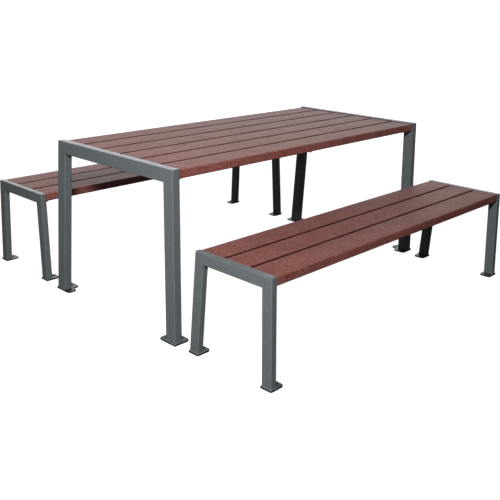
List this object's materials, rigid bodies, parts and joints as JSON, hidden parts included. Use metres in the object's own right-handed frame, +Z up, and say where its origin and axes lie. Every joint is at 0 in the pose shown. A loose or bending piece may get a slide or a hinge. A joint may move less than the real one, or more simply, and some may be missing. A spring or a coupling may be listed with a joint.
{
  "type": "picnic table with two benches",
  "caption": "Outdoor picnic set: a plank table and two separate backless plank benches on steel tube end frames with drilled foot plates",
  "frame": {"origin": "on the ground, midway between the two benches and midway between the end frames", "axes": "X runs along the planks; -Y is the front of the set, where bench_front stands; +Z is up"},
  "size_m": [1.808, 1.9878, 0.75],
  "materials": {
    "plank": "red-brown recycled plastic with a fine wood-like grain, matte",
    "frame_tube": "blue-grey powder coat, fine satin texture",
    "foot_plate": "dark grey powder coat, fine satin texture",
    "under_deck_bar": "dark grey powder coat, satin",
    "deck_screw": "zinc-plated steel, dull silver; for the screws of the visual model"
  },
  "bodies": {
    "root": {"bench_front_left_crossbar": "frame_tube", "bench_front_left_inner_foot_plate": "foot_plate", "bench_front_left_inner_leg": "frame_tube", "bench_front_left_outer_foot_plate": "foot_plate", "bench_front_left_outer_leg": "frame_tube", "bench_front_left_plank_support": "under_deck_bar", "bench_front_plank_1": "plank", "bench_front_plank_2": "plank", "bench_front_plank_3": "plank", "bench_front_right_crossbar": "frame_tube", "bench_front_right_inner_foot_plate": "foot_plate", "bench_front_right_inner_leg": "frame_tube", "bench_front_right_outer_foot_plate": "foot_plate", "bench_front_right_outer_leg": "frame_tube", "bench_front_right_plank_support": "under_deck_bar", "bench_front_tie_bar": "under_deck_bar", "bench_rear_left_crossbar": "frame_tube", "bench_rear_left_inner_foot_plate": "foot_plate", "bench_rear_left_inner_leg": "frame_tube", "bench_rear_left_outer_foot_plate": "foot_plate", "bench_rear_left_outer_leg": "frame_tube", "bench_rear_left_plank_support": "under_deck_bar", "bench_rear_plank_1": "plank", "bench_rear_plank_2": "plank", "bench_rear_plank_3": "plank", "bench_rear_right_crossbar": "frame_tube", "bench_rear_right_inner_foot_plate": "foot_plate", "bench_rear_right_inner_leg": "frame_tube", "bench_rear_right_outer_foot_plate": "foot_plate", "bench_rear_right_outer_leg": "frame_tube", "bench_rear_right_plank_support": "under_deck_bar", "bench_rear_tie_bar": "under_deck_bar", "table_left_back_foot_plate": "foot_plate", "table_left_back_leg": "frame_tube", "table_left_crossbar": "frame_tube", "table_left_front_foot_plate": "foot_plate", "table_left_front_leg": "frame_tube", "table_left_plank_support": "under_deck_bar", "table_plank_1": "plank", "table_plank_2": "plank", "table_plank_3": "plank", "table_plank_4": "plank", "table_plank_5": "plank", "table_plank_6": "plank", "table_right_back_foot_plate": "foot_plate", "table_right_back_leg": "frame_tube", "table_right_crossbar": "frame_tube", "table_right_front_foot_plate": "foot_plate", "table_right_front_leg": "frame_tube", "table_right_plank_support": "under_deck_bar", "table_tie_bar": "under_deck_bar"}
  },
  "joints": []
}
